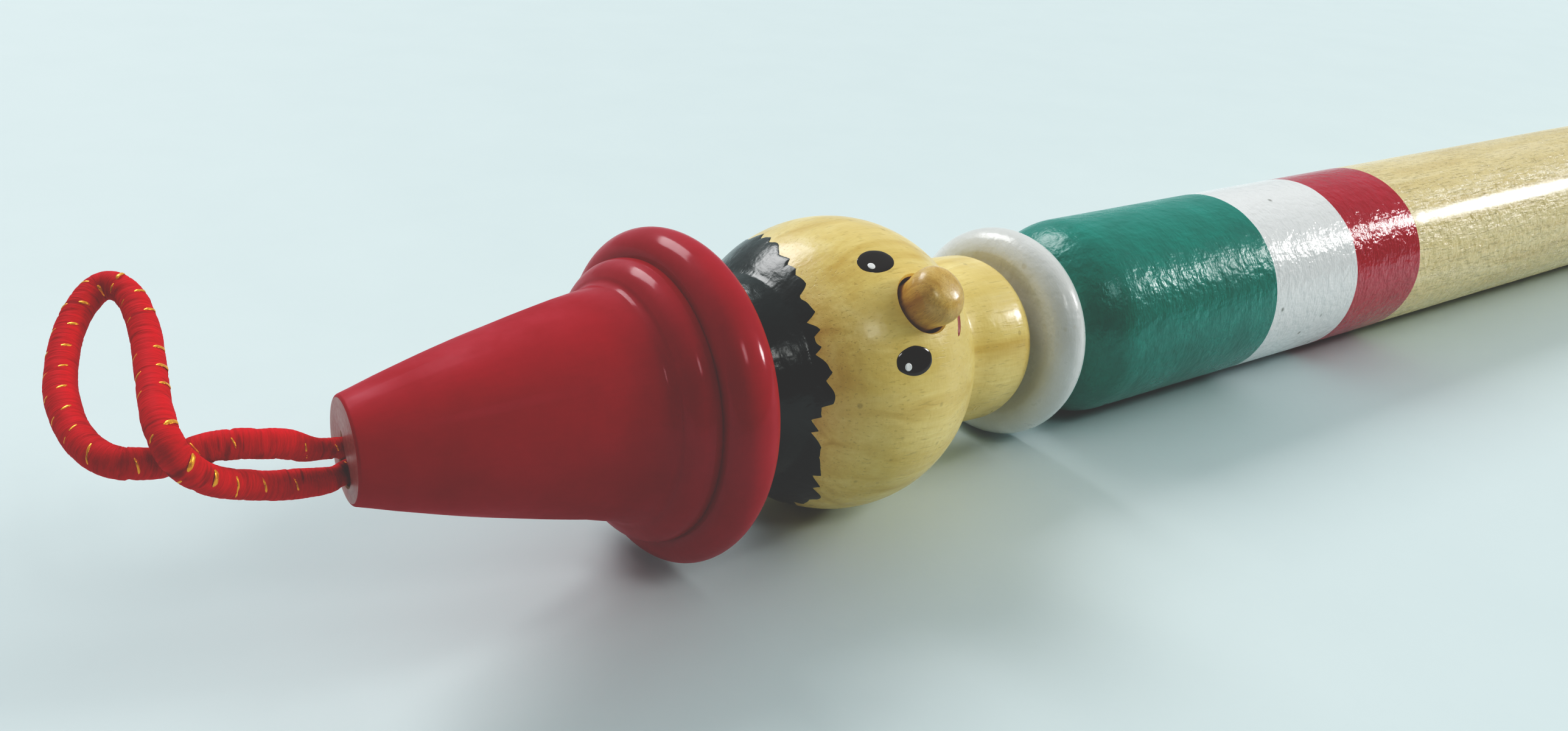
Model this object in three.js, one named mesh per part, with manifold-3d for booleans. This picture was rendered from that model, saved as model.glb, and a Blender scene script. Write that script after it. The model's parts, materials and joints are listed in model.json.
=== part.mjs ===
// Turned-wood novelty pencil with a strung figure head.
// A jumbo round pencil carries a loose collar, a ball head and a tall turned hat, all strung on
// one doubled elastic cord that leaves the hat's tip as a hanging loop.
// Millimetres, +Z up. The stick lies along X on z = 0 with its head end towards -X.
// The finished group has its origin at the bottom centre of its bounding box.
import * as THREE from 'three';
import { mergeVertices } from 'three/addons/utils/BufferGeometryUtils.js';
import Module from 'manifold-3d';

const wasm = await Module();
wasm.setup();

// ---------- driving dimensions ----------
// Stations are measured along a piece's own axis, falling towards the hat. Zero is a reference
// station inside the stick, near its head end.
const CLEARANCE = 0.3;            // gap between pieces at rest
const CORD_RADIUS = 0.95;
const CORD_BORE_RADIUS = 2.3;     // in stick, head and hat

const STICK_RADIUS = 10;
const STICK_FACETS = 36;
const STICK_END = -27.7;          // flat end facing the collar
const STICK_END_RADIUS = 3.5;     // radius of that flat
const SHOULDER_RADIUS = STICK_RADIUS - STICK_END_RADIUS;
const BORE_CHAMFER = 0.4;         // at the mouth of the stick's cord bore
const CORD_BORE_BOTTOM = 4;
const CONE_START = 214;           // start of the sharpened cone
const WOOD_TIP = 240;             // where the wood stops on the lead

const LEAD_RADIUS = 3;
const LEAD_START = 30;
const LEAD_TIP = 249.5;
const LEAD_BORE_RADIUS = LEAD_RADIUS + CLEARANCE;

const PEG_START = -1.6;           // head end of the anchor peg
const PEG_RADIUS = CORD_BORE_RADIUS - CLEARANCE;
const PEG_CHAMFER = 0.3;
const ANCHORED_CORD_START = -9.5;

const COLLAR_STICK_FACE = -29.5;
const COLLAR_HEAD_FACE = -33.9;
const COLLAR_RADIUS = 10.2;
const COLLAR_BORE_RADIUS = 2.6;
const COLLAR_DISH_DEPTH = 0.15;

const PIVOT = (STICK_END + COLLAR_STICK_FACE) / 2;   // where the cord bends
const HEAD_SWAY = 6.2;            // lean at rest towards -Y, degrees
const HEAD_RAISE = 6.3;           // lean at rest upwards, degrees

const NECK_FACE = COLLAR_HEAD_FACE - CLEARANCE;
const NECK_RADIUS = 7.9;
const NECK_ROUNDING = 3.2;
const BALL_CENTRE = -54.4;
const BALL_RADIUS = 12.64;
const CROWN = -69.9;              // flat of the head under the hat
const TENON_RADIUS = 4.6;         // head's tenon in the hat
const TENON_END = CROWN - 6;
const TENON_CHAMFER = 0.4;

const FACE_ROLL = 45;             // nose's turn from straight up towards -Y, degrees
const NOSE_STATION = -54;
const NOSE_RADIUS = 2.2;
const NOSE_CHAMFER = 0.3;
const NOSE_ROOT = 8.2;            // these three are distances out from the head's axis
const NOSE_END = 15.6;
const NOSE_CUTTER_END = 14;       // clear of the ball's surface

const HAT_UNDERSIDE = CROWN - CLEARANCE;
const HAT_SOCKET_RADIUS = TENON_RADIUS + CLEARANCE;
const HAT_SOCKET_BOTTOM = TENON_END - CLEARANCE;
const HAT_TIP = -96.95;           // flat tip

const FINISHES = {
  stick: { color: 0xd9b777, roughness: 0.35 },
  lead: { color: 0x2c2e31, roughness: 0.45, metalness: 0.3 },
  peg: { color: 0xc9a56b, roughness: 0.7 },
  cord: { color: 0xc8102a, roughness: 0.85 },
  collar: { color: 0xeceef0, roughness: 0.25 },
  head: { color: 0xdcb871, roughness: 0.35 },
  nose: { color: 0xd7a860, roughness: 0.4 },
  hat: { color: 0xb3202f, roughness: 0.3 },
};

// ---------- helpers ----------
// Shares vertices, drops collapsed triangles and makes the faces point out.
function tidy(geometry) {
  geometry.deleteAttribute('normal');
  geometry.deleteAttribute('uv');
  const merged = mergeVertices(geometry, 1e-4);
  const index = merged.index.array;
  const corners = [new THREE.Vector3(), new THREE.Vector3(), new THREE.Vector3()];
  const kept = [];
  let signedVolume = 0;           // six times the volume; only its sign is used
  for (let i = 0; i < index.length; i += 3) {
    const triangle = Array.from(index.slice(i, i + 3));
    if (new Set(triangle).size < 3) continue;
    kept.push(...triangle);
    corners.forEach((corner, k) => {
      corner.fromBufferAttribute(merged.attributes.position, triangle[k]);
    });
    signedVolume += corners[0].dot(corners[1].cross(corners[2]));
  }
  if (signedVolume < 0) {
    for (let i = 0; i < kept.length; i += 3) {
      [kept[i], kept[i + 1]] = [kept[i + 1], kept[i]];
    }
  }
  merged.setIndex(kept);
  merged.computeVertexNormals();
  return merged;
}

// Profile of [station, radius] pairs turned about the X axis.
function turned(profile, segments) {
  const points = profile.map(([station, radius]) => new THREE.Vector2(radius, station));
  const geometry = new THREE.LatheGeometry(points, segments);
  geometry.rotateZ(-Math.PI / 2);   // the lathe's Y axis becomes +X
  return tidy(geometry);
}

// Points on a circular arc; angles in degrees from the first axis.
function arc(centreX, centreY, radius, from, to, steps) {
  return Array.from({ length: steps + 1 }, (_, i) => {
    const angle = THREE.MathUtils.degToRad(from + (to - from) * i / steps);
    return [centreX + radius * Math.cos(angle), centreY + radius * Math.sin(angle)];
  });
}

function toManifold(geometry) {
  return new wasm.Manifold(new wasm.Mesh({
    numProp: 3,
    vertProperties: new Float32Array(geometry.attributes.position.array),
    triVerts: new Uint32Array(geometry.index.array),
  }));
}

function fromManifold(solid) {
  const mesh = solid.getMesh();
  const geometry = new THREE.BufferGeometry();
  const positions = new Float32Array(mesh.vertProperties);
  geometry.setAttribute('position', new THREE.BufferAttribute(positions, 3));
  geometry.setIndex(new THREE.BufferAttribute(new Uint32Array(mesh.triVerts), 1));
  return tidy(geometry);
}

function extruded(outline, options) {
  const shape = new THREE.Shape(outline.map(([x, y]) => new THREE.Vector2(x, y)));
  return new THREE.ExtrudeGeometry(shape, { bevelEnabled: false, ...options });
}

// Two cords side by side, straight along X, stacked in Z.
function doubledCord(start, end) {
  const outline = [
    ...arc(0, CORD_RADIUS, CORD_RADIUS, 0, 180, 6),
    ...arc(0, -CORD_RADIUS, CORD_RADIUS, 180, 360, 6),
  ];
  const geometry = extruded(outline, { depth: end - start, steps: 1 });
  geometry.rotateZ(Math.PI / 2);    // long side from Y to X...
  geometry.rotateY(Math.PI / 2);    // ...then to Z, and the depth along +X
  geometry.translate(start, 0, 0);
  return tidy(geometry);
}

// Position along the hung group's X axis, whose origin is the bend in the cord.
const fromPivot = station => station - PIVOT;

const turnedHung = (profile, segments) => turned(profile, segments).translate(-PIVOT, 0, 0);

// Moves [along, sideways, up] from the centre of the hat's tip face into the hung group.
const fromTip = ([along, sideways, up]) => [fromPivot(HAT_TIP) + along, sideways, up];

// Single cord through points given from the hat's tip.
function cordThrough(points, steps) {
  const path = points.map(point => new THREE.Vector3(...fromTip(point)));
  const extrudePath = new THREE.CatmullRomCurve3(path, false, 'centripetal');
  const outline = arc(0, 0, CORD_RADIUS, 0, 360, 10).slice(0, -1);
  return tidy(extruded(outline, { steps, extrudePath }));
}

function addPiece(parent, name, geometry, finish) {
  const mesh = new THREE.Mesh(geometry, new THREE.MeshStandardMaterial(finish));
  mesh.name = name;
  parent.add(mesh);
}

// ---------- stick: blind cord bore at the head end, lead bore at the other ----------
function stickGeometry() {
  return turned([
    [CORD_BORE_BOTTOM, 0], [CORD_BORE_BOTTOM, CORD_BORE_RADIUS],
    [STICK_END + BORE_CHAMFER, CORD_BORE_RADIUS],
    [STICK_END, CORD_BORE_RADIUS + BORE_CHAMFER],
    ...arc(STICK_END + SHOULDER_RADIUS, STICK_END_RADIUS, SHOULDER_RADIUS, 180, 90, 8),
    [CONE_START, STICK_RADIUS],
    [WOOD_TIP, LEAD_BORE_RADIUS + 0.25], [WOOD_TIP + 0.3, LEAD_BORE_RADIUS],
    [LEAD_START - CLEARANCE, LEAD_BORE_RADIUS], [LEAD_START - CLEARANCE, 0],
  ], STICK_FACETS).rotateX(Math.PI / STICK_FACETS);   // one facet lies flat on the table
}

// ---------- lead: rod with a blunted point ----------
function leadGeometry() {
  return turned([
    [LEAD_START, 0], [LEAD_START, LEAD_RADIUS], [WOOD_TIP + 1.2, LEAD_RADIUS],
    [LEAD_TIP - 0.4, 0.42], [LEAD_TIP, 0.2], [LEAD_TIP, 0],
  ], 20);
}

// ---------- anchor peg: at the bottom of the cord bore ----------
function pegGeometry() {
  const pegEnd = CORD_BORE_BOTTOM - CLEARANCE;
  return turned([
    [PEG_START, 0], [PEG_START, PEG_RADIUS - PEG_CHAMFER],
    [PEG_START + PEG_CHAMFER, PEG_RADIUS], [pegEnd, PEG_RADIUS], [pegEnd, 0],
  ], 20);
}

// ---------- collar: disc with a rounded rim and a shallow dish on the head side ----------
function collarGeometry() {
  const middle = (COLLAR_STICK_FACE + COLLAR_HEAD_FACE) / 2;
  const rimRadius = (COLLAR_STICK_FACE - COLLAR_HEAD_FACE) / 2;
  const rimCentreRadius = COLLAR_RADIUS - rimRadius;
  const dishFloor = COLLAR_HEAD_FACE + COLLAR_DISH_DEPTH;
  return turnedHung([
    [COLLAR_STICK_FACE, COLLAR_BORE_RADIUS], [COLLAR_STICK_FACE, 7.6],
    ...arc(middle, rimCentreRadius, rimRadius, 0, 180, 12).slice(1, -1),
    [COLLAR_HEAD_FACE, rimCentreRadius],
    [dishFloor, 7.2], [dishFloor, 6.4], [COLLAR_HEAD_FACE, 5.6],
    [COLLAR_HEAD_FACE, COLLAR_BORE_RADIUS], [COLLAR_STICK_FACE, COLLAR_BORE_RADIUS],
  ], 32);
}

// ---------- head: ball, short rounded neck, crown with a tenon, blind socket for the nose ----------
const faceAngle = THREE.MathUtils.degToRad(FACE_ROLL);
const faceDirection = new THREE.Vector3(0, -Math.sin(faceAngle), Math.cos(faceAngle));
const xToFace = new THREE.Quaternion()
  .setFromUnitVectors(new THREE.Vector3(1, 0, 0), faceDirection);

// Turned piece whose axis points out through the face.
function turnedOnFace(profile) {
  return turned(profile, 20).applyQuaternion(xToFace).translate(fromPivot(NOSE_STATION), 0, 0);
}

function headGeometry() {
  const neckCentreRadius = NECK_RADIUS - NECK_ROUNDING;
  const blank = turnedHung([
    [NECK_FACE, CORD_BORE_RADIUS], [NECK_FACE, 5.2],
    ...arc(NECK_FACE - NECK_ROUNDING, neckCentreRadius, NECK_ROUNDING, 0, 90, 4).slice(1),
    [-40.6, 7.75], [-42.6, 7.5], [-43.9, 7.35],       // neck waist
    ...arc(BALL_CENTRE, 0, BALL_RADIUS, 36.5, 138, 14),
    [-66.6, 7.6], [-68.6, 6.9], [CROWN, 6.7],         // taper to the crown
    [CROWN, TENON_RADIUS], [TENON_END + TENON_CHAMFER, TENON_RADIUS],
    [TENON_END, TENON_RADIUS - TENON_CHAMFER],
    [TENON_END, CORD_BORE_RADIUS], [NECK_FACE, CORD_BORE_RADIUS],
  ], 36);
  const socketBottom = NOSE_ROOT - CLEARANCE;
  const socketRadius = NOSE_RADIUS + CLEARANCE;
  const socket = turnedOnFace([
    [socketBottom, 0], [socketBottom, socketRadius],
    [NOSE_CUTTER_END, socketRadius], [NOSE_CUTTER_END, 0],
  ]);
  return fromManifold(toManifold(blank).subtract(toManifold(socket)));
}

// ---------- nose: round-ended peg ----------
function noseGeometry() {
  return turnedOnFace([
    [NOSE_ROOT, 0], [NOSE_ROOT, NOSE_RADIUS - NOSE_CHAMFER],
    [NOSE_ROOT + NOSE_CHAMFER, NOSE_RADIUS],
    ...arc(NOSE_END - NOSE_RADIUS, 0, NOSE_RADIUS, 90, 0, 5),
  ]);
}

// ---------- hat: long convex cone, two-lobed brim, tenon socket, bore to the tip ----------
// [station, radius] from the cone near the tip to the brim
const HAT_OUTLINE = [
  [-92.6, 5.13], [-88.2, 6.36], [-83.9, 7.41], [-80.6, 8.15], [-78.6, 8.57],
  [-77.7, 8.78], [-77.3, 9.0], [-77.0, 9.55], [-76.4, 10.22], [-75.6, 10.65], [-74.8, 10.78],
  [-74.3, 10.75], [-74.18, 11.4], [-73.85, 12.18], [-73.2, 12.74], [-72.3, 12.96],
  [-71.4, 12.74], [-70.7, 12.1],
];

function hatGeometry() {
  return turnedHung([
    [HAT_TIP, CORD_BORE_RADIUS], [HAT_TIP, 3.55], [HAT_TIP + 0.25, 3.8],
    ...HAT_OUTLINE,
    [HAT_UNDERSIDE, 11.0], [HAT_UNDERSIDE, HAT_SOCKET_RADIUS],
    [HAT_SOCKET_BOTTOM, HAT_SOCKET_RADIUS],
    [HAT_SOCKET_BOTTOM, CORD_BORE_RADIUS], [HAT_TIP, CORD_BORE_RADIUS],
  ], 36);
}

// ---------- cord outside the hat ----------
// points are [along, sideways, up] from the centre of the tip face
const MOUTH_CENTRE = [-2.4, 0, -0.2];
const MOUTH_RADIUS = 1.15;
const UPPER_STRAND = [
  [-4.3, 0.05, 1.22], [-5.3, 0.1, 1.43], [-6.3, 0.22, 1.56], [-7.2, 0.42, 1.58],
];
const LOWER_STRAND = [
  [-4.3, 0.0, -1.67], [-5.3, -0.02, -1.48], [-6.3, -0.07, -1.17], [-7.2, -0.2, -0.84],
];
// leaves the strands with a twist, leans over towards +Y and comes back behind itself
const LOOP = [
  [-9.25, -0.83, 0.35], [-10.17, -1.03, 1.21], [-10.87, -0.85, 2.08], [-11.17, -0.01, 2.8],
  [-11.09, 1.57, 3.34], [-10.73, 3.62, 3.63], [-10.27, 5.77, 3.92], [-9.84, 7.8, 4.3],
  [-9.45, 9.74, 4.79], [-9.17, 11.64, 5.34], [-9.11, 13.57, 5.94], [-9.35, 15.2, 6.3],
  [-9.81, 16.19, 6.35], [-10.4, 16.55, 6.15], [-10.97, 16.34, 5.79], [-11.58, 15.79, 5.4],
  [-12.33, 14.94, 4.82], [-13.0, 13.73, 4.22], [-13.62, 12.32, 3.6], [-14.13, 10.75, 3.05],
  [-14.55, 9.07, 2.53], [-14.75, 7.2, 2.08], [-14.79, 5.3, 1.7], [-14.56, 3.46, 1.47],
  [-14.07, 1.97, 1.31], [-13.34, 1.2, 1.18], [-12.49, 1.18, 0.99], [-11.51, 1.32, 0.72],
  [-10.55, 1.33, 0.67], [-9.69, 1.22, 0.94], [-9.25, 1.1, 1.14],
];

function mouthGeometry() {
  return tidy(new THREE.SphereGeometry(MOUTH_RADIUS, 12, 8).translate(...fromTip(MOUTH_CENTRE)));
}

// ---------- assembly ----------
const { cord } = FINISHES;
const all = new THREE.Group();
addPiece(all, 'stick', stickGeometry(), FINISHES.stick);
addPiece(all, 'lead', leadGeometry(), FINISHES.lead);
addPiece(all, 'anchor_peg', pegGeometry(), FINISHES.peg);
const anchoredCord = doubledCord(ANCHORED_CORD_START, PEG_START - CLEARANCE);
addPiece(all, 'cord_anchored_end', anchoredCord, cord);
const stickCord = doubledCord(STICK_END + 0.2, ANCHORED_CORD_START - CLEARANCE);
addPiece(all, 'cord_in_stick', stickCord, cord);

// everything strung beyond the bend; local X runs along the head's axis
const hung = new THREE.Group();
hung.position.set(PIVOT, 0, 0);
const [raise, sway] = [HEAD_RAISE, HEAD_SWAY].map(THREE.MathUtils.degToRad);
hung.rotation.set(0, raise, sway, 'ZYX');
all.add(hung);
addPiece(hung, 'cord_bend', doubledCord(-0.4, 0.4), cord);
addPiece(hung, 'collar', collarGeometry(), FINISHES.collar);
addPiece(hung, 'head', headGeometry(), FINISHES.head);
addPiece(hung, 'nose_peg', noseGeometry(), FINISHES.nose);
addPiece(hung, 'hat', hatGeometry(), FINISHES.hat);
const headCord = doubledCord(fromPivot(HAT_TIP) - 0.8, fromPivot(-30.1));
addPiece(hung, 'cord_in_head', headCord, cord);
addPiece(hung, 'cord_mouth', mouthGeometry(), cord);
addPiece(hung, 'cord_strand_upper', cordThrough(UPPER_STRAND, 6), cord);
addPiece(hung, 'cord_strand_lower', cordThrough(LOWER_STRAND, 6), cord);
addPiece(hung, 'cord_loop', cordThrough(LOOP, 60), cord);

const bounds = new THREE.Box3().setFromObject(all, true);
const centre = bounds.getCenter(new THREE.Vector3());
all.position.set(-centre.x, -centre.y, -bounds.min.z);

export default all;
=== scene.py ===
"""A pencil with a wooden doll's head on an elastic cord.

The stick lies along x with its lead towards +x and the head, hat and cord loop towards -x.
Each piece is drawn in local mm: x runs along its own axis, 0 at the green/white paint edge.
The head's pieces share an axis set by the head joints. Cord outside the hat is measured from
the hat's tip. Profiles are rows of [along, radius] in mm. Objects are built in metres.
"""
import json
import math
from functools import cached_property
from itertools import product

import bmesh
import bpy
import numpy as np
from mathutils import Matrix, Vector


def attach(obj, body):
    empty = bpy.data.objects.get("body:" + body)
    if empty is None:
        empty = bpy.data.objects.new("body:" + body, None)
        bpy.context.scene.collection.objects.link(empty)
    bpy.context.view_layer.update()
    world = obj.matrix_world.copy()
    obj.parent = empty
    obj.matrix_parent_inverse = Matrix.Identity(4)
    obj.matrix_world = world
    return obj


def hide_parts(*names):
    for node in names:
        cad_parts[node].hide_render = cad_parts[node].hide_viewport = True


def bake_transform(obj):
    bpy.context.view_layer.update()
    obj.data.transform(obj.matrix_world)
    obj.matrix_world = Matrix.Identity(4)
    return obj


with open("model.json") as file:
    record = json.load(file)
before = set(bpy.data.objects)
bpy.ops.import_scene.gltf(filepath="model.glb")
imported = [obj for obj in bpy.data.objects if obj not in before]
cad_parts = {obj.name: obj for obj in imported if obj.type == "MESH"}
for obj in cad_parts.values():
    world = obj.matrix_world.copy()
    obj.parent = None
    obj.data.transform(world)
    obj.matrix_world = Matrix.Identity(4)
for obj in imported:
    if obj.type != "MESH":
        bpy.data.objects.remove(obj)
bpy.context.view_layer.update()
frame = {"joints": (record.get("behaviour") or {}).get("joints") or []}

scene = bpy.context.scene

# ------------------------------------------------------------------ shared sizes, mm
NECK_PIVOT = -28.6         # where the head's joints sit along the axis
HAT_TIP = -96.95           # origin of the outside cord
CORD_BORE = 2.3            # radius of the hole through stick, head and hat
STRAND_OFFSET = 0.95       # a strand's centre from the axis, where the cord runs doubled


# ------------------------------------------------------------------ local frames
def unit(vectors):
    return vectors / np.linalg.norm(vectors, axis=-1, keepdims=True)


joints = {joint["name"]: joint for joint in frame["joints"]}
PIVOT = np.array(joints["head_sway"]["pos_m"]) * 1000.0
HEAD_X = unit(np.array(joints["head_twist"]["axis"], float))
nod_axis = np.array(joints["head_nod"]["axis"], float)
HEAD_Y = unit(nod_axis - HEAD_X * (HEAD_X @ nod_axis))
HEAD_Z = np.cross(HEAD_X, HEAD_Y)
STICK_ORIGIN = PIVOT - np.array([NECK_PIVOT, 0.0, 0.0])


def head_to_scene(points):
    points = np.asarray(points, float)
    return (PIVOT + (points[:, :1] - NECK_PIVOT) * HEAD_X
            + points[:, 1:2] * HEAD_Y + points[:, 2:3] * HEAD_Z)


def stick_to_scene(points):
    return np.asarray(points, float) + STICK_ORIGIN


def tip_to_scene(points):
    return head_to_scene(np.asarray(points, float) + np.array([[HAT_TIP, 0, 0]]))


def axis_point(to_scene, along):
    """A point on a piece's axis, in metres."""
    return tuple(to_scene([[along, 0.0, 0.0]])[0] / 1000.0)


# ------------------------------------------------------------------ smooth noise on arrays
def hash_unit(x, y, z, seed):
    """Repeatable value in 0..1 for whole-number cells."""
    mixed = (x * 374761393 + y * 668265263 + z * 2147483647 + seed * 1274126177) & 0xFFFFFFFF
    mixed = ((mixed ^ (mixed >> 13)) * 1274126177) & 0xFFFFFFFF
    mixed = (mixed ^ (mixed >> 16)) & 0xFFFFFFFF
    return mixed / 4294967295.0


def noise(x, y, z, seed):
    """Value noise in -1..1, one unit a cell."""
    points = np.stack(np.broadcast_arrays(x, y, z), -1).astype(float)
    cell = np.floor(points).astype(np.int64)
    part = points - cell
    part = part * part * (3 - 2 * part)
    total = 0.0
    for corner in product((0, 1), repeat=3):
        weight = np.where(corner, part, 1 - part)
        weight = weight[..., 0] * weight[..., 1] * weight[..., 2]
        spot = cell + np.array(corner)
        total = total + weight * hash_unit(spot[..., 0], spot[..., 1], spot[..., 2], seed)
    return total * 2 - 1


def ring_noise(angle, along, frequency, seed):
    """Noise that closes on itself round the axis."""
    return noise(np.cos(angle) * frequency, np.sin(angle) * frequency, along, seed)


# ------------------------------------------------------------------ profiles
def rounded(corners, steps):
    """Polyline with rounded corners; corners are (along, radius, fillet radius)."""
    result = []
    for k, (*corner, fillet) in enumerate(corners):
        corner = np.array(corner, float)
        if fillet <= 0 or k in (0, len(corners) - 1):
            result.append(corner)
            continue
        before = np.array(corners[k - 1][:2], float) - corner
        after = np.array(corners[k + 1][:2], float) - corner
        before_length, after_length = np.linalg.norm(before), np.linalg.norm(after)
        before, after = before / before_length, after / after_length
        half = math.acos(float(before @ after)) / 2
        reach = min(fillet / math.tan(half), 0.49 * before_length, 0.49 * after_length)
        fillet = reach * math.tan(half)
        centre = corner + unit(before + after) * (fillet / math.sin(half))
        start = math.atan2(*(corner + before * reach - centre)[::-1])
        end = math.atan2(*(corner + after * reach - centre)[::-1])
        if end - start > math.pi:
            end -= 2 * math.pi
        elif end - start < -math.pi:
            end += 2 * math.pi
        for i in range(steps + 1):
            angle = start + (end - start) * i / steps
            result.append(centre + fillet * np.array([math.cos(angle), math.sin(angle)]))
    return np.array(result)


def spline(points, steps):
    """Centripetal Catmull-Rom curve through the points."""
    def blend(a, b, start, end, at):
        return (end - at) / (end - start) * a + (at - start) / (end - start) * b

    points = np.array(points, float)
    points = np.vstack([2 * points[0] - points[1], points, 2 * points[-1] - points[-2]])
    result = []
    for k in range(1, len(points) - 2):
        p0, p1, p2, p3 = points[k - 1:k + 3]
        t0 = 0.0
        t1 = t0 + np.linalg.norm(p1 - p0) ** 0.5
        t2 = t1 + np.linalg.norm(p2 - p1) ** 0.5
        t3 = t2 + np.linalg.norm(p3 - p2) ** 0.5
        for at in np.linspace(t1, t2, steps, endpoint=False):
            first = blend(p0, p1, t0, t1, at)
            middle = blend(p1, p2, t1, t2, at)
            last = blend(p2, p3, t2, t3, at)
            result.append(blend(blend(first, middle, t0, t2, at),
                                blend(middle, last, t1, t3, at), t1, t2, at))
    result.append(points[-2])
    return np.array(result)


def arc(along, height, radius, start, end, steps):
    """Arc about (along, height), from start to end in degrees."""
    angle = np.radians(np.linspace(start, end, steps + 1))
    return np.stack([along + radius * np.cos(angle), height + radius * np.sin(angle)], -1)


def run(start, end, steps):
    return np.linspace(np.array(start, float), np.array(end, float), steps + 1)


def join(*parts):
    """Chains the parts and drops repeated points."""
    result = []
    for part in parts:
        for point in np.asarray(part, float):
            if not result or np.linalg.norm(result[-1] - point) > 1e-4:
                result.append(point)
    return np.array(result)


def resample(profile, longest):
    """Splits spans so that none is over longest."""
    profile = np.asarray(profile, float)
    result = [profile[0]]
    for a, b in zip(profile[:-1], profile[1:]):
        steps = max(1, int(math.ceil(np.linalg.norm(b - a) / longest)))
        result.extend(a + (b - a) * i / steps for i in range(1, steps + 1))
    return np.array(result)


# ------------------------------------------------------------------ mesh makers
def ring_angles(count):
    return np.linspace(0, 2 * math.pi, count, endpoint=False)


def around(along, radius, angle):
    """Local points at an angle round the axis, from +y towards +z."""
    return np.stack(np.broadcast_arrays(along, radius * np.cos(angle), radius * np.sin(angle)), -1)


def ring_faces(rings, count, closed=False):
    """Quads between successive rings of count points; closed joins last ring to first."""
    faces = []
    for k in range(rings if closed else rings - 1):
        near, far = k * count, (k + 1) % rings * count
        for i in range(count):
            j = (i + 1) % count
            faces.append((near + i, near + j, far + j, far + i))
    return faces


def make_object(name, local, faces, to_scene, materials, sharp, index=None, extra=None):
    """Smooth-shaded object that keeps its local coordinates in the attribute lc.

    sharp is in degrees, index holds material indices, extra holds more point attributes.
    """
    mesh = bpy.data.meshes.new(name)
    mesh.from_pydata((to_scene(local) / 1000.0).tolist(), [], faces)
    mesh.update()
    attribute = mesh.attributes.new("lc", "FLOAT_VECTOR", "POINT")
    attribute.data.foreach_set("vector", np.asarray(local, np.float32).ravel())
    for key, values in (extra or {}).items():
        attribute = mesh.attributes.new(key, "FLOAT", "POINT")
        attribute.data.foreach_set("value", np.asarray(values, np.float32).ravel())
    for material in materials:
        mesh.materials.append(material)
    if index is not None:
        mesh.polygons.foreach_set("material_index", np.asarray(index, np.int32))
    mesh.polygons.foreach_set("use_smooth", np.ones(len(mesh.polygons), bool))
    # turn the faces outwards
    solid = bmesh.new()
    solid.from_mesh(mesh)
    if solid.calc_volume(signed=True) < 0:
        bmesh.ops.reverse_faces(solid, faces=solid.faces)
        solid.to_mesh(mesh)
    solid.free()
    mesh.set_sharp_from_angle(angle=math.radians(sharp))
    ob = bpy.data.objects.new(name, mesh)
    scene.collection.objects.link(ob)
    return ob


def lathe(name, profile, count, to_scene, materials, paint=None, bend=None, closed=True):
    """Piece turned about the local x axis; closed joins the profile's last point to its first.

    paint(along, radius) gives a span's material index from its middle.
    bend(along, radius, angles) gives offsets along and outwards.
    """
    angles = ring_angles(count)
    points, rings = [], []
    for along, radius in profile:
        if radius < 1e-6:
            rings.append([len(points)])
            points.append((along, 0.0, 0.0))
            continue
        shift, swell = bend(along, radius, angles) if bend else (0.0, 0.0)
        rings.append(list(range(len(points), len(points) + count)))
        points.extend(around(along + shift, radius + swell, angles))
    faces, index = [], []
    for k in range(len(rings) if closed else len(rings) - 1):
        following = (k + 1) % len(rings)
        near, far = rings[k], rings[following]
        material = paint(*(profile[k] + profile[following]) / 2) if paint else 0
        for i in range(count):
            j = (i + 1) % count
            if len(near) == 1:
                faces.append((near[0], far[j], far[i]))
            elif len(far) == 1:
                faces.append((near[i], near[j], far[0]))
            else:
                faces.append((near[i], near[j], far[j], far[i]))
            index.append(material)
    local = np.array(points, float)
    return make_object(name, local, faces, to_scene, materials, sharp=38.0, index=index)


def place(ob, part, cad=None):
    """Rigid piece: the part it moves with and the CAD piece it replaces."""
    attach(ob, part)
    if cad:
        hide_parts(cad)


# ------------------------------------------------------------------ shader nodes
class Nodes:
    """Fills a cleared node tree. Values may be sockets or constants."""

    def __init__(self, tree):
        self.tree = tree
        tree.nodes.clear()

    def add(self, kind):
        return self.tree.nodes.new("ShaderNode" + kind)

    def put(self, socket, value):
        if isinstance(value, bpy.types.NodeSocket):
            self.tree.links.new(value, socket)
        else:
            socket.default_value = (*value, 1.0) if socket.type == "RGBA" else value

    def fill(self, node, *values):
        for socket, value in zip(node.inputs, values):
            self.put(socket, value)
        return node

    def math(self, operation, a, b=0.0, c=0.0):
        node = self.add("Math")
        node.operation = operation
        return self.fill(node, a, b, c).outputs[0]

    def times(self, a, b):
        return self.math("MULTIPLY", a, b)

    def plus(self, base, extra, factor):
        """base + extra * factor"""
        return self.math("MULTIPLY_ADD", extra, factor, base)

    def vector_math(self, operation, a, b=(0, 0, 0)):
        node = self.add("VectorMath")
        node.operation = operation
        self.fill(node, a, b)
        return node.outputs["Value" if operation in ("LENGTH", "DOT_PRODUCT") else 0]

    def remap(self, value, low, high, to=(0.0, 1.0)):
        return self.fill(self.add("MapRange"), value, low, high, *to).outputs[0]


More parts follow.
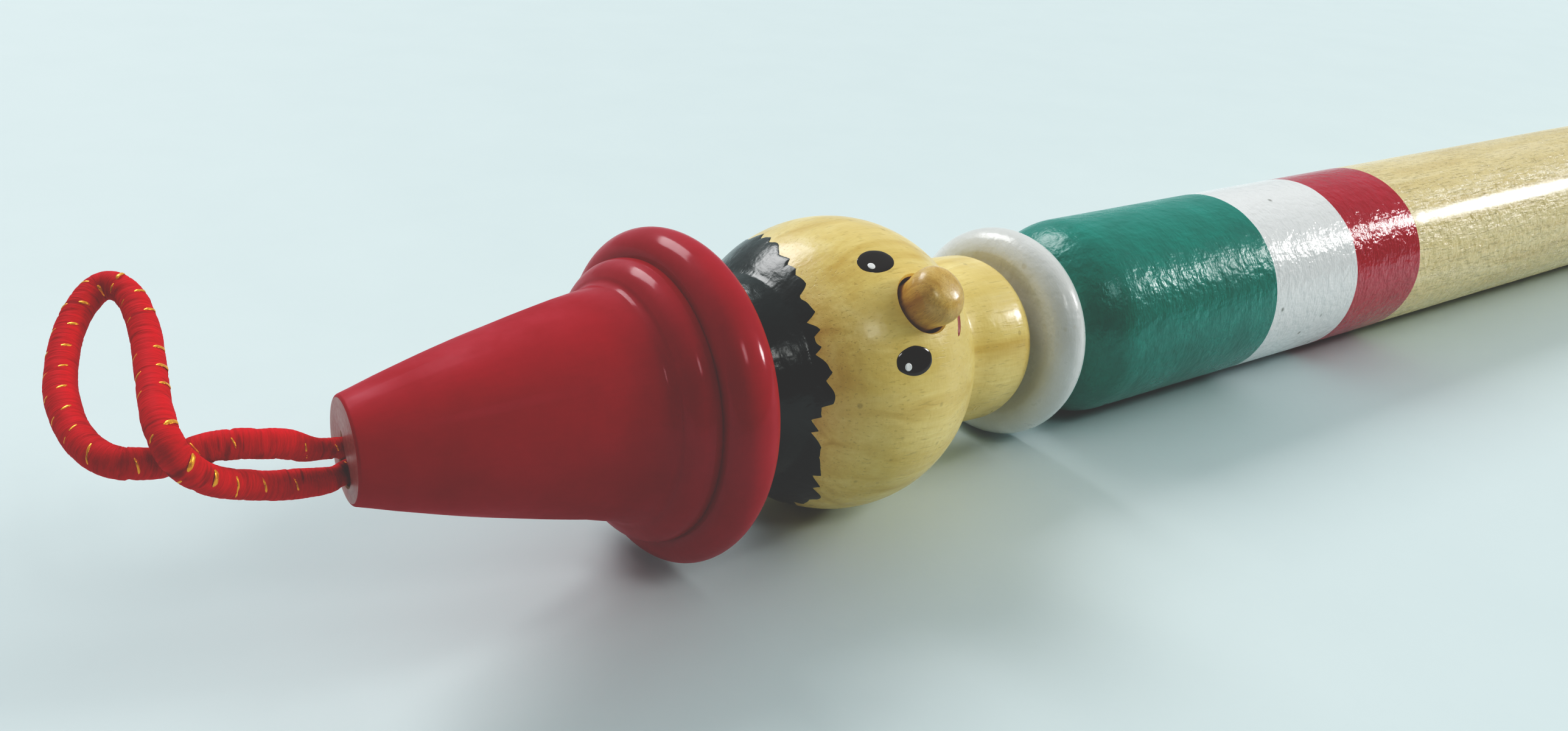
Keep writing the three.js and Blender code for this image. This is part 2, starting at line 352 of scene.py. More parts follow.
class Material(Nodes):
    def __init__(self, name):
        self.material = bpy.data.materials.new(name)
        self.material.use_nodes = True
        super().__init__(self.material.node_tree)
        output = self.add("OutputMaterial")
        self.surface = self.add("BsdfPrincipled")
        self.put(output.inputs[0], self.surface.outputs[0])

    @cached_property
    def local(self):
        """The piece's local coordinates in mm."""
        return self.attribute("lc").outputs["Vector"]

    def attribute(self, name):
        node = self.add("Attribute")
        node.attribute_name = name
        return node

    def finish(self, **inputs):
        """Sets the surface's inputs, with _ for each space, and gives the material."""
        for key, value in inputs.items():
            self.put(self.surface.inputs[key.replace("_", " ")], value)
        return self.material

    def combine(self, x, y, z):
        return self.fill(self.add("CombineXYZ"), x, y, z).outputs[0]

    def noise(self, scale=1.0, detail=3, rough=0.6, distortion=0.0, at=None):
        """Noise over at, by default the local mm; a tuple scales each axis on its own."""
        at = self.local if at is None else at
        if isinstance(scale, tuple):
            at, scale = self.vector_math("MULTIPLY", at, scale), 1.0
        node = self.add("TexNoise")
        self.put(node.inputs["Vector"], at)
        node.inputs["Scale"].default_value = scale
        node.inputs["Detail"].default_value = detail
        node.inputs["Roughness"].default_value = rough
        node.inputs["Distortion"].default_value = distortion
        return node.outputs["Fac"]

    def cells(self, scale):
        node = self.add("TexVoronoi")
        self.put(node.inputs["Vector"], self.local)
        node.inputs["Scale"].default_value = scale
        return node.outputs["Distance"]

    def ramp(self, value, *stops):
        node = self.add("ValToRGB")
        elements = node.color_ramp.elements
        while len(elements) < len(stops):
            elements.new(0.5)
        for k, (position, colour) in enumerate(stops):
            elements[k].position = position
            elements[k].color = (*colour, 1.0)
        self.put(node.inputs[0], value)
        return node.outputs[0]

    def mix(self, amount, a, b):
        node = self.add("Mix")
        node.data_type = "RGBA"
        # a colour mix uses inputs 6 and 7 and output 2
        for socket, value in ((0, amount), (6, a), (7, b)):
            self.put(node.inputs[socket], value)
        return node.outputs[2]

    def tint(self, base, colour, mask, low, high, amount=(0.0, 1.0)):
        """Lays colour over base by amount[0] where mask is low, up to amount[1] where high."""
        return self.mix(self.remap(mask, low, high, to=amount), base, colour)

    def bump(self, height, strength, depth):
        """depth is in mm"""
        node = self.add("Bump")
        node.inputs["Strength"].default_value = strength
        node.inputs["Distance"].default_value = depth / 1000.0
        self.put(node.inputs["Height"], height)
        return node.outputs[0]


# ------------------------------------------------------------------ materials
def shade(colour, factor):
    return tuple(factor * x for x in colour)


def grain(mat, scale=1.0):
    """Wood grain along local x: broad figure, fibre streaks and short pores, each 0..1."""
    figure = mat.noise(scale=(0.035 * scale, 0.45 * scale, 0.45 * scale),
                       detail=4, rough=0.55, distortion=0.6)
    fibre = mat.noise(scale=(0.16 * scale, 3.4 * scale, 3.4 * scale), detail=4)
    pore = mat.noise(scale=(0.55 * scale, 6.5 * scale, 6.5 * scale), detail=2, rough=0.5)
    return figure, fibre, mat.remap(pore, low=0.60, high=0.70)


def orange_peel(mat, fine, long):
    """Height of a lacquer film: fine is drag round the turning, long drag along the grain."""
    peel = mat.noise(scale=0.9, detail=2, rough=0.5)
    along = mat.noise(scale=(0.5, 1.7, 1.7), rough=0.55)
    turned = mat.noise(scale=(3.2, 1.0, 1.0))
    return mat.plus(mat.plus(peel, along, factor=long), turned, factor=fine)


def varnished(name, light, middle, dark, rough, bump, blotch, film=0.12, scale=1.0, figure=1.0):
    """Clear varnish over wood; film is the relief in mm, figure the contrast of the grain."""
    mat = Material(name)
    broad, fibre, pore = grain(mat, scale)
    colour = mat.ramp(broad, (0.30, dark), (0.47, middle), (0.62, light))
    colour = mat.tint(colour, dark, fibre, low=0.35, high=0.68, amount=(0.0, 0.55 * figure))
    blotches = mat.noise(scale=0.16)
    colour = mat.tint(colour, mat.mix(0.5, middle, shade(dark, 0.82)), blotches,
                      low=0.35, high=0.7, amount=(0.0, blotch))
    colour = mat.mix(mat.times(pore, 0.45 * figure), colour, shade(dark, 0.5))
    colour = mat.tint(colour, shade(dark, 0.35), mat.cells(scale=0.42),
                      low=0.06, high=0.12, amount=(0.35, 0.0))
    height = orange_peel(mat, fine=0.25, long=0.5)
    height = mat.plus(height, fibre, factor=-0.25)
    height = mat.plus(height, pore, factor=-0.2)
    gloss = mat.remap(mat.noise(scale=0.5), low=0.3, high=0.7, to=(rough * 0.8, rough * 1.35))
    return mat.finish(Base_Color=colour, Roughness=gloss, Normal=mat.bump(height, bump, film),
                      Coat_Weight=0.25, Coat_Roughness=0.14, IOR=1.48)


def lacquer(name, base, dark, rough, bump, depth, coat=0.25, coat_rough=0.12, wear=None,
            worn=0.0, fine=0.35, specular=None):
    """Opaque lacquer; worn is the strength of specks of the colour wear.

    A pair for coat is the hat's: its coat on the cone and on the brim.
    """
    mat = Material(name)
    patches = mat.noise(scale=0.22, detail=4)
    colour = mat.tint(base, dark, patches, low=0.3, high=0.72, amount=(0.0, 0.65))
    fibre = mat.noise(scale=(0.18, 3.2, 3.2))
    colour = mat.tint(colour, dark, fibre, low=0.45, high=0.75, amount=(0.0, 0.22))
    turned = mat.noise(scale=(5.5, 0.25, 0.25), rough=0.65)
    colour = mat.tint(colour, dark, turned, low=0.5, high=0.8, amount=(0.0, 0.18))
    if worn:
        specks = mat.remap(mat.cells(scale=0.30), low=0.05, high=0.11, to=(1.0, 0.0))
        colour = mat.mix(mat.times(specks, worn), colour, wear)
    height = orange_peel(mat, fine=fine, long=0.25)
    if isinstance(coat, tuple):
        along = mat.fill(mat.add("SeparateXYZ"), mat.local).outputs[0]
        coat = mat.remap(along, low=-80.5, high=-76.5, to=coat)
    if specular is not None:
        mat.finish(Specular_IOR_Level=specular)
    gloss = mat.remap(patches, low=0.3, high=0.7, to=(rough * 0.8, rough * 1.3))
    return mat.finish(Base_Color=colour, Roughness=gloss, Normal=mat.bump(height, bump, depth),
                      Coat_Weight=coat, Coat_Roughness=coat_rough, IOR=1.5)


def raw_wood(name, light, dark):
    mat = Material(name)
    figure, fibre, pore = grain(mat)
    colour = mat.tint(dark, light, figure, low=0.35, high=0.65)
    colour = mat.tint(colour, dark, fibre, low=0.4, high=0.7, amount=(0.0, 0.4))
    colour = mat.mix(mat.times(pore, 0.5), colour, shade(dark, 0.55))
    height = mat.plus(mat.noise(scale=(6.0, 0.6, 0.6)), fibre, factor=0.8)
    return mat.finish(Base_Color=colour, Roughness=0.7, IOR=1.45,
                      Normal=mat.bump(height, strength=0.6, depth=0.06))


def graphite():
    mat = Material("graphite")
    turned = mat.noise(scale=(7.0, 1.5, 1.5), detail=4)
    speckle = mat.noise(scale=3.5)
    colour = mat.tint((0.035, 0.036, 0.04), (0.075, 0.077, 0.082), speckle, low=0.3, high=0.7)
    return mat.finish(Base_Color=colour, Metallic=0.35,
                      Roughness=mat.remap(turned, low=0.3, high=0.7, to=(0.34, 0.56)),
                      Normal=mat.bump(mat.math("ADD", turned, speckle), strength=0.5, depth=0.05))


def hat_end_grain():
    """Thin, rubbed paint over end grain on the hat's tip."""
    mat = Material("hat_end_grain")
    across = mat.vector_math("MULTIPLY", mat.local, (0.0, 1.0, 1.0))
    radius = mat.vector_math("LENGTH", across)
    rings = mat.noise(at=mat.combine(mat.times(radius, 3.0), 0.0, 0.0))
    speckle = mat.noise(scale=2.4, detail=4)
    colour = mat.tint((0.40, 0.10, 0.09), (0.46, 0.21, 0.185), speckle, low=0.32, high=0.68)
    colour = mat.tint(colour, (0.30, 0.055, 0.05), rings, low=0.4, high=0.7, amount=(0.0, 0.5))
    return mat.finish(Base_Color=colour, Roughness=0.42, Coat_Weight=0.15, Coat_Roughness=0.3,
                      Normal=mat.bump(mat.math("ADD", rings, speckle), strength=0.5, depth=0.06))


def shaded_bore_wall():
    """Dark, rough walls of the drilled holes, their colour painted dark as shade inside the holes.
    """
    mat = Material("shaded_bore_wall")
    cut = mat.noise(scale=(4.0, 1.2, 1.2))
    # painted shade: the hole walls are coloured far darker than the cut wood, for the shade inside
    # the holes
    colour = mat.tint((0.20, 0.11, 0.05), (0.36, 0.22, 0.11), cut, low=0.3, high=0.7)
    return mat.finish(Base_Color=colour, Roughness=0.8,
                      Normal=mat.bump(cut, strength=0.6, depth=0.08))


def wound_thread():
    """Fine red thread wound round the cord, with painted shade darkening the slits between bunches.

    s is the distance along the cord; ca and sa are the cosine and sine round it, so that
    nothing jumps where the angle wraps.
    """
    mat = Material("wound_red_thread")
    distance, cosine, sine = (mat.attribute(key).outputs["Fac"] for key in ("s", "ca", "sa"))

    def on_cord(lengthwise, round_it):
        return mat.combine(mat.times(distance, lengthwise), mat.times(cosine, round_it),
                           mat.times(sine, round_it))

    cord = on_cord(1.0, 0.9)
    lay = mat.remap(mat.noise(at=on_cord(6.5, 0.45)), low=0.32, high=0.68)
    fuzz = mat.noise(at=cord, scale=(9.0, 2.2, 2.2), detail=4, rough=0.7)
    slit = mat.noise(at=cord, scale=(1.5, 0.35, 0.35), detail=2, rough=0.5)
    slit = mat.remap(slit, low=0.60, high=0.70)
    colour = mat.mix(lay, (0.47, 0.002, 0.011), (0.72, 0.004, 0.024))
    colour = mat.tint(colour, (0.80, 0.010, 0.038), fuzz, low=0.35, high=0.75, amount=(0.0, 0.55))
    # painted shade: the slits between the bunches are darkened towards near-black red
    colour = mat.mix(mat.times(slit, 0.6), colour, (0.17, 0.001, 0.004))
    broad = mat.noise(at=cord, scale=0.35, detail=2, rough=0.5)
    colour = mat.tint(colour, (0.50, 0.006, 0.012), broad, low=0.35, high=0.7, amount=(0.0, 0.35))
    height = mat.plus(lay, fuzz, factor=0.6)
    height = mat.plus(height, slit, factor=-0.9)
    return mat.finish(Base_Color=colour, Roughness=0.62, IOR=1.45, Specular_IOR_Level=0.12,
                      Sheen_Weight=0.12, Sheen_Roughness=0.35, Sheen_Tint=(1.0, 0.12, 0.12),
                      Normal=mat.bump(height, strength=0.55, depth=0.06))


def gold_thread():
    mat = Material("gold_thread")
    flakes = mat.noise(scale=(4.0, 4.0, 4.0))
    colour = mat.tint((0.90, 0.34, 0.03), (1.0, 0.50, 0.08), flakes, low=0.3, high=0.7)
    return mat.finish(Base_Color=colour, Metallic=0.6,
                      Roughness=mat.remap(flakes, low=0.3, high=0.7, to=(0.22, 0.42)),
                      Normal=mat.bump(flakes, strength=0.6, depth=0.05))


WOOD = varnished("varnished_pale_wood", light=(0.96, 0.80, 0.45), middle=(0.89, 0.72, 0.36),
                 dark=(0.74, 0.56, 0.25), rough=0.25, bump=1.0, blotch=0.30, film=0.32,
                 figure=0.34)
HEAD_WOOD = varnished("varnished_head_wood", light=(0.93, 0.75, 0.31),
                      middle=(0.86, 0.66, 0.235), dark=(0.67, 0.45, 0.12), rough=0.34,
                      bump=0.45, blotch=0.65, scale=0.9, figure=0.6)
NOSE_WOOD = varnished("varnished_peg_wood", light=(0.80, 0.56, 0.22), middle=(0.72, 0.47, 0.15),
                      dark=(0.52, 0.30, 0.08), rough=0.32, bump=0.3, blotch=0.5, scale=1.6)
GREEN = lacquer("green_lacquer", base=(0.002, 0.270, 0.212), dark=(0.002, 0.165, 0.130),
                rough=0.28, bump=0.9, depth=0.16, coat=0.10)
WHITE = lacquer("white_lacquer", base=(0.89, 0.89, 0.885), dark=(0.85, 0.85, 0.84), rough=0.2,
                bump=1.0, depth=0.17, wear=(0.12, 0.11, 0.08), worn=0.7)
RED = lacquer("red_band_lacquer", base=(0.52, 0.010, 0.040), dark=(0.40, 0.007, 0.028),
              rough=0.18, bump=1.0, depth=0.19)
HAT_RED = lacquer("red_hat_lacquer", base=(0.44, 0.004, 0.028), dark=(0.35, 0.003, 0.020),
                  rough=0.55, bump=0.22, depth=0.08, fine=0.15, coat=(0.03, 0.42),
                  coat_rough=0.14, specular=0.16)
COLLAR_WHITE = lacquer("white_collar_lacquer", base=(0.76, 0.765, 0.75),
                       dark=(0.66, 0.655, 0.62), rough=0.28, bump=0.75, depth=0.10,
                       wear=(0.5, 0.45, 0.33), worn=0.4)
HAIR = lacquer("black_green_lacquer", base=(0.003, 0.014, 0.013), dark=(0.002, 0.007, 0.007),
               rough=0.24, bump=0.6, depth=0.10, coat=0.1)
EYE = lacquer("dark_brown_lacquer", base=(0.022, 0.012, 0.008), dark=(0.012, 0.007, 0.005),
              rough=0.12, bump=0.2, depth=0.05)
LIPS = lacquer("brick_red_lacquer", base=(0.36, 0.05, 0.035), dark=(0.26, 0.03, 0.02),
               rough=0.25, bump=0.25, depth=0.05)
CUT_WOOD = raw_wood("raw_cut_wood", light=(0.70, 0.52, 0.30), dark=(0.52, 0.35, 0.17))
DOWEL_WOOD = raw_wood("raw_peg_wood", light=(0.62, 0.44, 0.24), dark=(0.42, 0.27, 0.12))
LEAD = graphite()
HAT_END = hat_end_grain()
SHADED_BORE = shaded_bore_wall()
THREAD = wound_thread()
GOLD = gold_thread()

# ------------------------------------------------------------------ stick
STICK_RADIUS = 10.0
SHOULDER = 6.5             # rounding at the head end
STICK_END = -27.7
PAINT_STEP = 0.035         # the paint film's step down to the bare wood
WHITE_START, RED_START, WOOD_START = 0.0, 14.75, 27.4
BODY_END = 213.4           # where the edge of the sharpened cone begins
LEAD_HOLE = 3.3            # radius
LEAD_RADIUS = 3.0

WOOD_RADIUS = STICK_RADIUS - PAINT_STEP
stick_profile = join(
    [[4.0, 0.0], [4.0, CORD_BORE]],
    run((3.0, CORD_BORE), (STICK_END + 0.4, CORD_BORE), 6),
    [[STICK_END + 0.1, 2.42], [STICK_END, 2.7]],
    arc(STICK_END + SHOULDER, STICK_RADIUS - SHOULDER, SHOULDER, 180, 90, 26),
    run((STICK_END + SHOULDER, STICK_RADIUS), (WHITE_START, STICK_RADIUS), 14),
    run((WHITE_START + 0.10, STICK_RADIUS), (RED_START - 0.05, STICK_RADIUS), 12),
    run((RED_START + 0.05, STICK_RADIUS), (WOOD_START - 0.2, STICK_RADIUS), 10),
    run((WOOD_START - 0.1, STICK_RADIUS), (WOOD_START + 0.1, WOOD_RADIUS), 2),
    run((WOOD_START + 0.1, WOOD_RADIUS), (BODY_END, WOOD_RADIUS), 62),
    arc(BODY_END, WOOD_RADIUS - 0.5, 0.5, 90, 62, 3),
    resample([[BODY_END + 0.5, 9.82], [240.0, 3.55]], 1.1),
    [[240.3, LEAD_HOLE]],
    run((239.0, LEAD_HOLE), (29.7, LEAD_HOLE), 8),
    [[29.7, 0.0]],
)


def stick_paint(along, radius):
    """Index into the stick's materials."""
    if radius < LEAD_HOLE + 0.05 and along > STICK_END + 0.2:
        return 4
    if along > BODY_END + 0.1:
        return 5
    if along < WHITE_START:
        return 1
    if along < RED_START:
        return 2
    return 3 if along < WOOD_START else 0


def stick_bend(along, radius, angle):
    """Wavy paint edges, a slightly uneven surface and a sharpener's facets on the cone."""
    if radius < 3.6:
        return 0.0, 0.0
    shift = np.zeros(len(angle))
    for edge, seed in ((WHITE_START, 3), (RED_START, 4), (WOOD_START, 5)):
        shift += math.exp(-((along - edge) / 1.2) ** 2) * (
            0.07 * ring_noise(angle, 0.0, 2.2, seed) + 0.035 * ring_noise(angle, 0.0, 7.0, seed + 9))
    if abs(along - 213.8) < 3:
        shift += 0.35 * math.exp(-((along - 213.8) / 1.2) ** 2) * ring_noise(angle, 0.0, 2.5, 31)
    swell = (0.018 * ring_noise(angle, along * 0.08, 1.3, 21)
             + 0.010 * ring_noise(angle, along * 0.35, 3.0, 22))
    if along > 214.5:
        fade = min(1.0, (along - 214.5) / 3.0)
        swell = swell + 0.05 * ring_noise(angle, along * 0.5, 2.6, 41) * fade
    return shift, swell


stick = lathe("stick_body", stick_profile, 144, stick_to_scene,
              [WOOD, GREEN, WHITE, RED, SHADED_BORE, CUT_WOOD],
              paint=stick_paint, bend=stick_bend, closed=False)
place(stick, "stick", cad="stick")

LEAD_BARE = 241.0          # the lead is plain up to here and sharpened beyond
lead_profile = join(
    [[30.0, 0.0], [30.0, 2.8], [30.2, LEAD_RADIUS]],
    run((34.0, LEAD_RADIUS), (LEAD_BARE, LEAD_RADIUS), 30),
    spline([(241.2, 2.97), (243.5, 2.25), (246.0, 1.48), (248.3, 0.78),
            (249.15, 0.5), (249.45, 0.25)], 5),
    [[249.5, 0.0]],
)


def lead_bend(along, radius, angle):
    return 0.0, 0.03 * ring_noise(angle, along * 0.7, 2.0, 51) if along > LEAD_BARE else 0.0


lead = lathe("lead_core", lead_profile, 56, stick_to_scene, [LEAD], bend=lead_bend, closed=False)
place(lead, "stick", cad="lead")

dowel_profile = [[-1.6, 0.0], [-1.6, 1.55], [-1.25, 1.98], [1.0, 2.0], [3.6, 2.0], [3.7, 1.9],
                 [3.7, 0.0]]
dowel = lathe("anchor_dowel", resample(dowel_profile, 0.5), 40, stick_to_scene, [DOWEL_WOOD],
              closed=False)
place(dowel, "stick", cad="anchor_peg")

# ------------------------------------------------------------------ collar
RIM_CENTRE, RIM_HEIGHT, RIM_RADIUS = -31.7, 8.0, 2.2
collar_profile = resample(join(
    [(-29.5, 2.6), (-29.5, 7.9)],
    arc(RIM_CENTRE, RIM_HEIGHT, RIM_RADIUS, 0, 180, 40),
    spline([(-33.9, 8.0), (-33.82, 7.5), (-33.75, 7.0), (-33.74, 6.4), (-33.8, 5.9),
            (-33.88, 5.4), (-33.9, 4.8)], 4),
    rounded([(-33.9, 4.8, 0), (-33.9, 2.6, 0.25), (-33.4, 2.6, 0)], 4),
), 0.6)


def collar_bend(along, radius, angle):
    return (0.012 * ring_noise(angle, radius * 0.8, 2.0, 61),
            0.03 * ring_noise(angle, along * 0.5, 1.4, 62))


collar = lathe("collar_disc", collar_profile, 128, head_to_scene, [COLLAR_WHITE],
               bend=collar_bend)
place(collar, "collar", cad="collar")

# ------------------------------------------------------------------ head
BALL_CENTRE, BALL_RADIUS = -54.4, 12.64
ball = arc(BALL_CENTRE, 0.0, BALL_RADIUS, 36.5, 138, 90)
head_profile = join(
    # neck
    [[-34.2, 2.5], [-34.2, 5.0]],
    arc(-37.4, 4.7, 3.2, 0, 84, 18),
    spline([(-37.9, 7.88), (-39.5, 7.86), (-41.2, 7.72), (-42.6, 7.5), (-43.6, 7.42),
            (-44.24, 7.52)], 5),
    ball[1:],
    # crown, which stands in the hat
    spline([ball[-1], (-65.3, 8.0), (-67.0, 7.25), (-68.6, 6.85), (-69.7, 6.7)], 4),
    [[-69.9, 6.6], [-69.9, 4.6]],
    run((-70.2, 4.6), (-75.5, 4.6), 5),
    [[-75.9, 4.2]],
    run((-75.9, CORD_BORE), (-34.4, CORD_BORE), 14),
)


def head_bend(along, radius, angle):
    return 0.0, 0.02 * ring_noise(angle, along * 0.2, 1.5, 71) if radius > 4 else 0.0


head = lathe("head_ball", head_profile, 160, head_to_scene, [HEAD_WOOD, SHADED_BORE], bend=head_bend,
             paint=lambda along, radius: 1 if radius < CORD_BORE + 0.05 else 0)

FACE = math.radians(135.0)      # the face's direction round the axis, from +y towards +z
FACE_OUT = np.array([0.0, math.cos(FACE), math.sin(FACE)])
FACE_SIDE = np.array([0.0, -math.sin(FACE), math.cos(FACE)])
NOSE_LEVEL = -54.0


def nose_to_scene(points):
    """x is the distance out from the head's axis in the face direction."""
    return head_to_scene(np.array([[NOSE_LEVEL, 0, 0]]) + points[:, :1] * FACE_OUT
                         + points[:, 1:2] * np.array([1.0, 0, 0]) + points[:, 2:3] * FACE_SIDE)


def cut_nose_hole():
    profile = join([[7.9, 0.0], [7.9, 2.5]], run((8.5, 2.5), (12.15, 2.5), 6),
                   [[12.45, 2.75], [14.5, 4.2], [14.5, 0.0]])
    cutter = lathe("cutter", profile, 72, nose_to_scene, [HEAD_WOOD], closed=False)
    hole = head.modifiers.new("hole", "BOOLEAN")
    hole.operation = "DIFFERENCE"
    hole.solver = "MANIFOLD"
    hole.object = cutter
    graph = bpy.context.evaluated_depsgraph_get()
    cut = bpy.data.meshes.new_from_object(head.evaluated_get(graph),
                                          preserve_all_data_layers=True, depsgraph=graph)
    head.modifiers.remove(hole)
    uncut = head.data
    head.data = cut
    bpy.data.meshes.remove(uncut)
    bpy.data.objects.remove(cutter)
    # the cut made new vertices, so lc is worked out again from their places
    places = np.empty(len(cut.vertices) * 3, np.float32)
    cut.vertices.foreach_get("co", places)
    places = places.reshape(-1, 3).astype(float) * 1000.0 - PIVOT
    local = np.stack([places @ HEAD_X + NECK_PIVOT, places @ HEAD_Y, places @ HEAD_Z], -1)
    cut.attributes["lc"].data.foreach_set("vector", local.astype(np.float32).ravel())
    cut.set_sharp_from_angle(angle=math.radians(32))


cut_nose_hole()
place(head, "head", cad="head")

nose_profile = join(
    [[8.2, 0.0], [8.2, 1.8], [8.6, 2.18]],
    run((9.0, 2.2), (12.2, 2.2), 5),
    spline([(12.2, 2.2), (12.7, 2.26), (13.2, 2.36), (13.9, 2.42), (14.6, 2.28),
            (15.15, 1.86), (15.48, 1.2), (15.58, 0.55)], 6),
    [[15.6, 0.0]],
)
nose = lathe("nose_button", nose_profile, 56, nose_to_scene, [NOSE_WOOD], closed=False,
             bend=lambda along, radius, angle: (0.0, 0.02 * ring_noise(angle, along, 1.5, 81)))
place(nose, "head", cad="nose_peg")

# ------------------------------------------------------------------ painted hair
HAIR_POINTS = 900
HAIR_ROWS = 26
HAIR_TOP = -69.5
HAIR_FILM = 0.075
PAINT_SINK = 0.1           # how far the eyes' and smile's undersides reach into the wood


def fringe_edge(angle):
    """The fringe's edge along the axis: it rises away from the face, with brush points."""
    turned = np.angle(np.exp(1j * (angle - math.radians(150.0))))
    away = np.clip((np.abs(turned) - math.radians(25)) / math.radians(95), 0, 1)
    base = -63.25 + 4.2 * away * away * (3 - 2 * away)
    ragged = 0.42 * ring_noise(angle, 0.0, 3.4, 91) + 0.34 * ring_noise(angle, 0.0, 8.5, 92)
    # 34 brush points, uneven in width and depth, each with a long and a short flank
    point = angle * 34 / (2 * math.pi) + 0.55 * ring_noise(angle, 0.0, 5.0, 93)
    part = point - np.floor(point)
    tooth = np.where(part < 0.72, part / 0.72, (1 - part) / 0.28)
    depth = 0.55 + 0.35 * ring_noise(angle, 3.0, 9.0, 94)
    return base + ragged + depth * (tooth - 0.5)


def head_radius(along):
    outside = head_profile[head_profile[:, 1] > 6.4]
    outside = outside[np.argsort(outside[:, 0])]
    return np.interp(along, outside[:, 0], outside[:, 1])


def build_hair():
    """Thin film over the ball, ragged at its lower edge."""
    angles = ring_angles(HAIR_POINTS)
    edge = fringe_edge(angles)
    outer, inner = [], []
    for k, share in enumerate(np.linspace(0, 1, HAIR_ROWS) ** 0.8):
        along = HAIR_TOP + (edge - HAIR_TOP) * share
        thinning = np.sqrt(np.clip((edge - along) / 0.35, 0, 1))
        brushing = 1 - 0.25 * ring_noise(angles, k * 0.6, 6.0, 95)
        lift = HAIR_FILM * thinning * brushing + 0.004
        outer.append(around(along, head_radius(along) + lift, angles))
        along = HAIR_TOP + (edge - 0.02 - HAIR_TOP) * share
        inner.append(around(along, head_radius(along) - 0.12, angles))
    rows = outer + inner[::-1]
    faces = ring_faces(len(rows), HAIR_POINTS, closed=True)
    return make_object("hair_paint", np.vstack(rows), faces, head_to_scene, [HAIR], sharp=60)


place(build_hair(), "head")


# ------------------------------------------------------------------ painted face
def on_ball(down, side, lift):
    """Points on the ball: mm from nose level towards the neck, mm round, mm off the surface."""
    latitude = (NOSE_LEVEL - BALL_CENTRE + down) / BALL_RADIUS
    longitude = side / BALL_RADIUS
    reach = BALL_RADIUS + lift
    return around(BALL_CENTRE + reach * np.sin(latitude), reach * np.cos(latitude),
                  FACE + longitude)


def paint_spot(name, outline, centre, material, film=0.06, rings=7):
    """Thin patch on the ball; outline rows are (down, side) from centre."""
    count = len(outline)
    points = []
    for size in 1 - np.linspace(0, 1, rings + 1)[:-1] ** 1.6:
        spot = centre + outline * size
        lift = film * math.sqrt(min(1.0, (1 - size) / 0.25)) + 0.002
        points.extend(on_ball(spot[:, 0], spot[:, 1], lift))
    top = len(points)
    points.extend(on_ball(centre[:1], centre[1:], film))
    base = len(points)
    spot = centre + outline * 0.995
    points.extend(on_ball(spot[:, 0], spot[:, 1], -PAINT_SINK))
    bottom = len(points)
    points.extend(on_ball(centre[:1], centre[1:], -PAINT_SINK))
    faces = ring_faces(rings, count)
    last_ring = (rings - 1) * count
    for i in range(count):
        j = (i + 1) % count
        faces.append((last_ring + i, last_ring + j, top))
        faces.append((i, base + i, base + j, j))
        faces.append((base + j, base + i, bottom))
    ob = make_object(name, np.array(points), faces, head_to_scene, [material], sharp=60)
    place(ob, "head")


def paint_smile():
    """Short curved stroke, round at its ends."""
    share = np.linspace(-1, 1, 40)
    count = len(share)
    middle = np.stack([4.6 - 1.35 * share ** 2, 3.2 * share], -1)
    tangent = unit(np.gradient(middle, axis=0))
    normal = np.stack([-tangent[:, 1], tangent[:, 0]], -1)
    ends = np.sqrt(np.clip(1 - np.abs(share) ** 12, 0.02, 1))
    half_width = 0.30 * (1 - 0.35 * share ** 4) * ends
    across = np.array([-1, -0.72, -0.35, 0, 0.35, 0.72, 1.0])
    lifts = 0.06 * np.sqrt(np.clip(1 - np.abs(across), 0, 1) / 0.65).clip(0, 1) + 0.002
    rows = [(offset, lift * ends) for offset, lift in zip(across, lifts)]
    rows += [(0.99, -PAINT_SINK), (-0.99, -PAINT_SINK)]
    points = []
    for offset, lift in rows:
        place_on = middle + normal * (half_width * offset)[:, None]
        points.extend(on_ball(place_on[:, 0], place_on[:, 1], lift))
    starts = [k * count for k in range(len(rows))]
    faces = []
    for near, far in zip(starts, starts[1:] + starts[:1]):
        faces += [(near + i, near + i + 1, far + i + 1, far + i) for i in range(count - 1)]
    faces.append(tuple(starts))
    faces.append(tuple(start + count - 1 for start in starts)[::-1])
    ob = make_object("smile_paint", np.array(points), faces, head_to_scene, [LIPS], sharp=60)
    place(ob, "head")


EYE_SIZE = (1.75, 1.2)     # half height and half width
DOT_RADIUS = 0.36
oval_angles = ring_angles(72)
oval = np.stack([np.cos(oval_angles), np.sin(oval_angles)], -1)
for suffix, side, seed in (("a", -1, 101), ("b", 1, 102)):
    eye_centre = np.array([-2.6, side * 4.5])
    wobble = 1 + 0.025 * ring_noise(oval_angles, 0.0, 2.0, seed)
    paint_spot("eye_paint_" + suffix, oval * EYE_SIZE * wobble[:, None], eye_centre, EYE)
    paint_spot("eye_dot_" + suffix, oval * DOT_RADIUS, eye_centre + np.array([-0.75, 0.4]),
               WHITE, film=0.10)
paint_smile()

